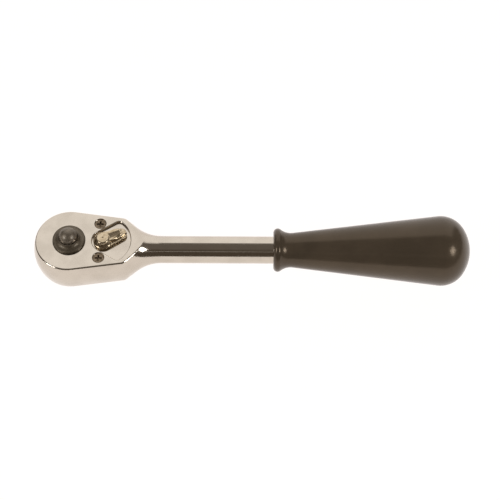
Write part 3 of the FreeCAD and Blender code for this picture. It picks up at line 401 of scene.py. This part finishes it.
@dataclass(frozen=True)
class Studio:
    """The floor, the light and the camera that show the wrench.

    The world's angles go from the far horizon, at 0, over the top to the near horizon, at 180.
    """

    reach_mm: float = 616.0
    elevation_deg: float = 60.0
    lens_mm: float = 96.5
    sensor_mm: float = 36.0
    roll_deg: float = 0.28
    aim_x_mm: float = 82.3
    floor_size_m: float = 6.0
    floor_drop_mm: float = 0.2
    warmth: tuple[float, float, float] = (1.15, 1.12, 1.1)
    paper_glow: tuple[float, float, float] = (1.04, 0.99, 0.97)
    shade: tuple[float, float, float] = (0.09, 0.071, 0.054)
    floor_paper: float = 0.05
    wall_top_deg: float = 68.0
    wall_soft_deg: float = 6.0
    wall_half_width: float = 0.5
    wall_side_soft: float = 0.2
    haze_full_deg: float = 110.0
    haze_end_deg: float = 132.0
    haze: float = 0.062
    strip_deg: float = 136.0
    strip_half_deg: float = 1.6
    strip_glow: float = 0.3
    box_size_m: float = 0.32
    box_power_w: float = 2.8
    box_heading: tuple[float, float, float] = (0.707, -0.354, 0.612)

    def target(self) -> Vector:
        """The point that the camera and the soft boxes face."""
        return Vector((self.aim_x_mm, 0, MIDDLE_Z_MM)) * MM

    def floor(self) -> None:
        """Lay the pale, evenly lit floor under the wrench."""
        bpy.ops.mesh.primitive_plane_add(size=self.floor_size_m, location=(0, 0, -self.floor_drop_mm * MM))
        sheet = bpy.context.object
        sheet.name = "floor"
        glow = bpy.data.materials.new("lit_white_floor")
        glow.use_nodes = True
        tree = glow.node_tree
        tree.nodes.clear()
        light = add_node(tree, "ShaderNodeEmission", None, {
            "Color": (*self.paper_glow, 1.0), "Strength": 1.0,
        })
        paper = add_node(tree, "ShaderNodeBsdfDiffuse", None, {"Color": (*[self.floor_paper] * 3, 1.0)})
        both = add_node(tree, "ShaderNodeAddShader", None, {
            0: light.outputs["Emission"], 1: paper.outputs["BSDF"],
        })
        output = add_node(tree, "ShaderNodeOutputMaterial")
        tree.links.new(both.outputs["Shader"], output.inputs["Surface"])
        sheet.data.materials.append(glow)

    def walls(self) -> None:
        """Light the far side of the room and leave the near side and the ceiling dim."""
        world = bpy.data.worlds.new("studio_walls")
        bpy.context.scene.world = world
        world.use_nodes = True
        tree = world.node_tree
        tree.nodes.clear()
        heading = add_node(tree, "ShaderNodeTexCoord").outputs["Generated"]
        split = add_node(tree, "ShaderNodeSeparateXYZ", None, {"Vector": heading})
        angle = add_node(tree, "ShaderNodeMath", {"operation": "ARCTAN2"}, {
            0: split.outputs["Z"], 1: split.outputs["Y"],
        }).outputs[0]
        top = math.radians(self.wall_top_deg)
        soft = math.radians(self.wall_soft_deg)
        height = ramp(tree, angle, (top - soft, 1.0), (top + soft, 0.0))
        aside = add_node(tree, "ShaderNodeMath", {"operation": "ABSOLUTE"}, {0: split.outputs["X"]})
        side = ramp(tree, aside.outputs[0], (self.wall_half_width, 1.0),
                    (self.wall_half_width + self.wall_side_soft, 0.0))
        lit = add_node(tree, "ShaderNodeMath", {"operation": "MULTIPLY"}, {0: height, 1: side}).outputs[0]
        haze = ramp(tree, angle, (math.radians(self.haze_full_deg), self.haze),
                    (math.radians(self.haze_end_deg), 0.0))
        on_strip = add_node(tree, "ShaderNodeMath", {"operation": "COMPARE"}, {
            0: angle, 1: math.radians(self.strip_deg), 2: math.radians(self.strip_half_deg),
        }).outputs[0]
        strip = add_node(tree, "ShaderNodeMath", {"operation": "MULTIPLY"}, {0: on_strip, 1: self.strip_glow})
        glow = add_node(tree, "ShaderNodeMath", {"operation": "MAXIMUM"}, {0: haze, 1: strip.outputs[0]})
        amount = add_node(tree, "ShaderNodeMath", {"operation": "MAXIMUM"}, {0: lit, 1: glow.outputs[0]})
        colour = add_node(tree, "ShaderNodeMix", {"data_type": "RGBA"}, {
            "Factor": amount.outputs[0], 6: (*self.shade, 1.0), 7: (*self.warmth, 1.0),
        }).outputs[2]
        backdrop = add_node(tree, "ShaderNodeBackground", None, {"Color": colour, "Strength": 1.0})
        output = add_node(tree, "ShaderNodeOutputWorld")
        tree.links.new(backdrop.outputs["Background"], output.inputs["Surface"])

    def soft_boxes(self) -> None:
        """Hang one square soft box on each side, a metre off, in front of the wrench and above it."""
        across, along, up = self.box_heading
        for side, name in ((-1, "soft_box_left"), (1, "soft_box_right")):
            heading = Vector((side * across, along, up)).normalized()
            bpy.ops.object.light_add(type="AREA", location=self.target() + heading)
            lamp = bpy.context.object
            lamp.name = name
            lamp.data.shape = "SQUARE"
            lamp.data.size = self.box_size_m
            lamp.data.energy = self.box_power_w
            lamp.rotation_euler = heading.to_track_quat("Z", "Y").to_euler()

    def camera(self) -> None:
        """Set the camera where the wrench is looked at from."""
        elevation = math.radians(self.elevation_deg)
        heading = Vector((0, -math.cos(elevation), math.sin(elevation)))
        bpy.ops.object.camera_add(location=self.target() + heading * self.reach_mm * MM)
        view = bpy.context.object
        view.name = "camera"
        view.data.lens = self.lens_mm
        view.data.sensor_width = self.sensor_mm
        turned = heading.to_track_quat("Z", "Y").to_euler()
        turned.rotate_axis("Z", math.radians(self.roll_deg))
        view.rotation_euler = turned
        bpy.context.scene.camera = view

    def build(self) -> None:
        """Set up the whole studio."""
        bpy.context.scene.view_settings.view_transform = "Standard"
        self.floor()
        self.walls()
        self.soft_boxes()
        self.camera()


@dataclass(frozen=True)
class Grip:
    """The turned and polished grip, from its front face along +X."""

    front_mm: float = 93.0
    length: float = 90.1
    tang_radius: float = 5.0
    tang_depth: float = 70.0
    shank_radius: float = 6.25
    shank_depth: float = 2.0
    front_radius: float = 8.0
    flange_round: float = 2.0
    flange_turn_deg: float = 52.1
    waist_curve: float = 7.74
    waist_at: float = 8.9
    waist_radius: float = 8.0
    swell_at: float = 75.4
    swell_radius: float = 15.97
    end_curve: float = 12.0
    end_turn_deg: float = 35.03
    end_crown: float = 19.06
    turn_steps: int = 128
    flange_steps: int = 20
    taper_steps: int = 12
    swell_steps: int = 16
    crown_steps: int = 14
    fitting: Fitting = Fitting("frame", "grip_plastic", "handle_grip")

    def profile(self) -> list[Point]:
        """The bore, the flange, the waist, the long taper and the domed end.

        Returns:
            Distance from the front face and radius, from the bore's bottom round to the end.
        """
        slope = math.atan2(self.swell_radius - self.waist_radius, self.swell_at - self.waist_at)
        lean = math.degrees(slope)
        bore = [(self.tang_depth, self.tang_radius), (self.shank_depth, self.tang_radius),
                (self.shank_depth, self.shank_radius), (0.0, self.shank_radius)]
        flange = arc_points((self.flange_round, self.front_radius), self.flange_round,
                            180.0, self.flange_turn_deg, self.flange_steps)
        hollow_centre = (self.waist_at - self.waist_curve * math.sin(slope),
                         self.waist_radius + self.waist_curve * math.cos(slope))
        hollow = arc_points(hollow_centre, self.waist_curve,
                            180.0 + self.flange_turn_deg, 270.0 + lean, self.taper_steps)
        taper = [(self.waist_at + (self.swell_at - self.waist_at) * step / self.taper_steps,
                  self.waist_radius + (self.swell_radius - self.waist_radius) * step / self.taper_steps)
                 for step in range(1, self.taper_steps)]
        swell_centre = (self.swell_at + self.end_curve * math.sin(slope),
                        self.swell_radius - self.end_curve * math.cos(slope))
        swell = arc_points(swell_centre, self.end_curve, 90.0 + lean, self.end_turn_deg, self.swell_steps)
        crown = arc_points((self.length - self.end_crown, 0.0), self.end_crown,
                           self.end_turn_deg, 0.0, self.crown_steps)
        return bore + flange + hollow[1:] + taper + swell + crown[1:-1] + [(self.length, 0.0)]

    def build(self, finish: bpy.types.Material) -> None:
        """Turn the grip and fit it to the shank.

        Args:
            finish: the grip's plastic.
        """
        lathe = Lathe((1.0, 0.0, 0.0), (self.front_mm, 0.0, MIDDLE_Z_MM), self.turn_steps)
        piece = lathe.turn("turned_grip", self.profile())
        self.fitting.fit(piece, finish)


@dataclass(frozen=True)
class Push:
    """A move of the points of the lever's ridge that lie in a box, all in the lever's own millimetres."""

    low: tuple[float, float, float]
    high: tuple[float, float, float]
    move: tuple[float, float, float]

    def takes(self, place: Vector) -> bool:
        """Whether a point lies in the box."""
        return all(low <= part <= high for low, part, high in zip(self.low, place, self.high))


@dataclass(frozen=True)
class ReverseLever:
    """The cast reversing lever, built pointing along +X from its own axis and then turned.

    Heights are millimetres above the head's middle plane.
    """

    axis_x_mm: float = 15.5
    rest_deg: float = 24.0
    under: float = 6.9
    hub_radius: float = 4.45
    foot_bevel: float = 0.4
    foot_height: float = 0.8
    plate_top: float = 8.2
    hub_top: float = 10.4
    boss_radius: float = 2.3
    boss_round: float = 0.7
    boss_steps: int = 6
    dimple_radius: float = 0.55
    dimple_depth: float = 0.16
    tip_radius: float = 3.0
    tip_at: float = 8.4
    plate_sides: int = 64
    ridge_start: float = 1.2
    ridge_end: float = 11.0
    ridge_half: float = 2.5
    ridge_top: float = 10.0
    ridge_cuts: int = 3
    grain: float = 0.12
    soften_factor: float = 0.5
    soften_steps: int = 14
    smooth_deg: float = 80.0
    pin_end: float = -7.6
    pin_bevel: float = 0.3
    pin_radius: float = 1.8
    pin_shoulder: float = -5.4
    stem_radius: float = 2.3
    stem_sides: int = 48
    clip_groove: Point = (3.9, 4.5)
    clip_groove_radius: float = 1.8
    seal_groove: Point = (5.3, 6.2)
    seal_groove_radius: float = 1.48
    pushes: tuple[Push, ...] = (
        # The near top edge runs in towards the tip.
        Push((3.0, -2.6, 9.9), (4.4, -2.4, 10.1), (0.0, 0.15, 0.0)),
        Push((5.4, -2.6, 9.9), (6.8, -2.4, 10.1), (0.0, 0.95, 0.0)),
        Push((7.8, -2.6, 9.9), (9.2, -2.4, 10.1), (0.3, 1.8, -0.3)),
        Push((10.5, -2.6, 9.9), (11.2, -2.4, 10.1), (-0.8, 2.1, -0.9)),
        # The far top edge steps down and in behind the raised part.
        Push((7.8, 2.4, 9.9), (9.2, 2.6, 10.1), (-0.9, -0.2, -0.1)),
        Push((10.5, 2.4, 9.9), (11.2, 2.6, 10.1), (-1.0, -1.6, -1.4)),
        # The whole tip is lower and narrower.
        Push((10.5, -1.3, 9.9), (11.2, 1.3, 10.1), (-0.6, 0.0, -0.9)),
        Push((10.5, -2.6, 6.8), (11.2, -2.4, 9.4), (-0.5, 1.3, 0.0)),
        Push((10.5, 2.4, 6.8), (11.2, 2.6, 9.4), (-0.5, -1.3, 0.0)),
        Push((7.8, -2.6, 6.8), (9.2, -2.4, 9.4), (0.0, 0.4, 0.0)),
        Push((7.8, 2.4, 6.8), (9.2, 2.6, 9.4), (0.0, -0.4, 0.0)),
        # The top leans towards the near side.
        Push((0.0, 1.0, 9.6), (8.8, 2.6, 10.2), (0.0, 0.0, 0.19)),
        Push((0.0, -2.7, 9.6), (8.8, -1.1, 10.2), (0.0, 0.0, -0.16)),
    )
    fitting: Fitting = Fitting("lever", "plated_lever", "reverse_lever")

    def at(self, u: float, v: float, z: float) -> Vector:
        """A place in the lever's own frame, in metres, z from the middle plane."""
        return Vector((self.axis_x_mm + u, v, MIDDLE_Z_MM + z)) * MM

    def hub(self) -> bpy.types.Object:
        """Turn the round hub with its sloping flank, flat top and centre mark.

        Returns:
            The hub, still on its own.
        """
        profile = [(self.under, self.hub_radius - self.foot_bevel),
                   (self.under + self.foot_bevel, self.hub_radius),
                   (self.under + self.foot_height, self.hub_radius)]
        profile += arc_points((self.hub_top - self.boss_round, self.boss_radius), self.boss_round,
                              90.0, 0.0, self.boss_steps)
        profile += [(self.hub_top, self.dimple_radius), (self.hub_top - self.dimple_depth, 0.0)]
        lathe = Lathe((0.0, 0.0, 1.0), (self.axis_x_mm, 0.0, MIDDLE_Z_MM))
        return lathe.turn("lever_hub", profile)

    def plate(self) -> bpy.types.Object:
        """Stretch the teardrop plate under the thumb ridge round two discs.

        Returns:
            The plate, still on its own.
        """
        start_clean()
        thickness = self.plate_top - self.under
        discs = []
        for place, radius in ((0.0, self.hub_radius), (self.tip_at, self.tip_radius)):
            bpy.ops.mesh.primitive_cylinder_add(
                vertices=self.plate_sides, radius=radius * MM, depth=thickness * MM,
                location=self.at(place, 0.0, self.under + thickness / 2))
            discs.append(bpy.context.object)
        for disc in discs:
            disc.select_set(True)
        bpy.ops.object.join()
        piece = bpy.context.object
        piece.name = "lever_plate"
        bpy.ops.object.transform_apply(location=True, rotation=True, scale=True)
        bpy.ops.object.mode_set(mode="EDIT")
        bpy.ops.mesh.select_all(action="SELECT")
        bpy.ops.mesh.convex_hull()
        bpy.ops.object.mode_set(mode="OBJECT")
        return piece

    def ridge(self) -> bpy.types.Object:
        """Shape the raised thumb ridge: broad at the hub, falling and narrowing to the tip.

        Returns:
            The ridge, still on its own.
        """
        start_clean()
        length = self.ridge_end - self.ridge_start
        height = self.ridge_top - self.under
        centre = self.at(self.ridge_start + length / 2, 0.0, self.under + height / 2)
        bpy.ops.mesh.primitive_cube_add(size=1.0, location=centre)
        piece = bpy.context.object
        piece.name = "lever_ridge"
        piece.scale = (length * MM, 2 * self.ridge_half * MM, height * MM)
        bpy.ops.object.transform_apply(location=True, rotation=True, scale=True)
        bpy.ops.object.mode_set(mode="EDIT")
        bpy.ops.mesh.select_all(action="SELECT")
        bpy.ops.mesh.subdivide(number_cuts=self.ridge_cuts)
        for push in self.pushes:
            select_points(piece, lambda place, push=push: push.takes(place - self.at(0.0, 0.0, 0.0) / MM))
            bpy.ops.transform.translate(value=tuple(part * MM for part in push.move))
        bpy.ops.object.mode_set(mode="OBJECT")
        return piece

    def thumb(self, finish: bpy.types.Material) -> None:
        """Melt hub, plate and ridge into one casting with soft inner corners.

        Args:
            finish: the plated casting.
        """
        parts = [self.hub(), self.plate(), self.ridge()]
        start_clean()
        for part in parts:
            part.select_set(True)
        bpy.context.view_layer.objects.active = parts[0]
        bpy.ops.object.join()
        piece = bpy.context.object
        piece.name = "reverse_lever_thumb"
        melt = piece.modifiers.new("melt", "REMESH")
        melt.mode = "VOXEL"
        melt.voxel_size = self.grain * MM
        soften = piece.modifiers.new("soften", "SMOOTH")
        soften.factor = self.soften_factor
        soften.iterations = self.soften_steps
        apply_modifiers(piece)
        self.swing(piece)
        self.fitting.fit(piece, finish, self.smooth_deg)

    def stem(self, finish: bpy.types.Material) -> None:
        """Turn the stem below the thumb piece, down to the pin in the cover plate.

        Args:
            finish: the ground steel.
        """
        profile = [(self.pin_end, self.pin_radius - self.pin_bevel),
                   (self.pin_end + self.pin_bevel, self.pin_radius),
                   (self.pin_shoulder, self.pin_radius), (self.pin_shoulder, self.stem_radius)]
        for (low, high), radius in ((self.clip_groove, self.clip_groove_radius),
                                    (self.seal_groove, self.seal_groove_radius)):
            profile += [(low, self.stem_radius), (low, radius), (high, radius), (high, self.stem_radius)]
        profile.append((self.under, self.stem_radius))
        lathe = Lathe((0.0, 0.0, 1.0), (self.axis_x_mm, 0.0, MIDDLE_Z_MM), self.stem_sides)
        piece = lathe.turn("reverse_lever_stem", profile)
        self.fitting.fit(piece, finish)

    def swing(self, piece: bpy.types.Object) -> None:
        """Turn a piece about the lever's axis to where the lever rests.

        Args:
            piece: the piece, pointing along +X.
        """
        pick(piece)
        bpy.ops.object.transform_apply(location=True, rotation=True, scale=True)
        bpy.context.scene.cursor.location = self.at(0.0, 0.0, 0.0)
        bpy.ops.object.origin_set(type="ORIGIN_CURSOR")
        piece.rotation_euler = (0.0, 0.0, math.radians(self.rest_deg))
        bpy.ops.object.transform_apply(location=True, rotation=True, scale=True)

    def build(self, casting: bpy.types.Material, steel: bpy.types.Material) -> None:
        """Build the whole lever."""
        self.thumb(casting)
        self.stem(steel)


@dataclass(frozen=True)
class ButtonSpring:
    """The spring under the button, wound at one fixed length.

    Its ends stand a little clear of the bore's floor and of the button's flange.
    """

    low_end: float = 1.03
    high_end: float = 5.37
    wire_radius: float = 0.225
    wire_sides: int = 16
    coil_radius: float = 3.4
    turns: int = 4
    turn_steps: int = 48
    travel: float = 2.5
    fitting: Fitting = Fitting("drive", "spring_wire", "button_spring")

    def build(self, finish: bpy.types.Material) -> None:
        """Wind the wire's section up the bore, close its ends and attach it to the drive.

        Args:
            finish: the drawn wire.
        """
        start_clean()
        bottom = MIDDLE_Z_MM + self.low_end
        length = self.high_end - self.low_end
        bpy.ops.mesh.primitive_circle_add(
            vertices=self.wire_sides, radius=self.wire_radius * MM, rotation=(math.pi / 2, 0.0, 0.0),
            location=(self.coil_radius * MM, 0.0, (bottom + self.wire_radius) * MM))
        piece = bpy.context.object
        piece.name = "button_coil_spring"
        bpy.ops.object.transform_apply(location=True, rotation=True, scale=True)
        wind = piece.modifiers.new("wind", "SCREW")
        wind.steps = self.turn_steps
        wind.render_steps = self.turn_steps
        wind.iterations = self.turns
        wind.screw_offset = (length - 2 * self.wire_radius) / self.turns * MM
        apply_modifiers(piece)
        bpy.ops.object.mode_set(mode="EDIT")
        cap_openings()
        bpy.ops.object.mode_set(mode="OBJECT")
        self.fitting.fit(piece, finish)
        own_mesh(piece)


@dataclass(frozen=True)
class CarriedOver:
    """The CAD nodes that keep their own shape and only take a finish."""

    surfaces: tuple[tuple[Surface, tuple[str, ...]], ...] = (
        (Surface.PLATED_FORGING, ("ratchet_body", "cover_plate")),
        (Surface.BLACK_OXIDE, ("drive_gear", "button_collar", "pawl")),
        (Surface.RUBBED_OXIDE, ("release_button",)),
        (Surface.DULL_OXIDE, ("cover_screws",)),
        (Surface.GROUND_STEEL, ("cover_dowels", "gear_thrust_washer", "push_pin", "detent_ball",
                                "pawl_plunger")),
        (Surface.DRAWN_WIRE, ("lever_clip", "plunger_spring")),
        (Surface.NITRILE, ("gear_seal_ring", "lever_seal_ring")),
    )

    def dress(self, finishes: dict[Surface, bpy.types.Material]) -> None:
        """Give every carried-over node its material.

        Args:
            finishes: each surface's material.
        """
        for surface, nodes in self.surfaces:
            for node in nodes:
                mesh = FRAME["nodes"][node].data
                for slot in range(len(mesh.materials)):
                    mesh.materials[slot] = finishes[surface]
                LOG.info("%s: %s", node, surface.value.name)


def main() -> None:
    """Build the studio and the wrench, one sub-assembly after another."""
    logging.basicConfig(level=logging.INFO, format="%(message)s")
    finishes = {surface: surface.value.material() for surface in Surface}
    Studio().build()
    Grip().build(finishes[Surface.GRIP_PLASTIC])
    ReverseLever().build(finishes[Surface.PLATED_CASTING], finishes[Surface.GROUND_STEEL])
    ButtonSpring().build(finishes[Surface.DRAWN_WIRE])
    CarriedOver().dress(finishes)


if __name__ == "__main__":
    main()
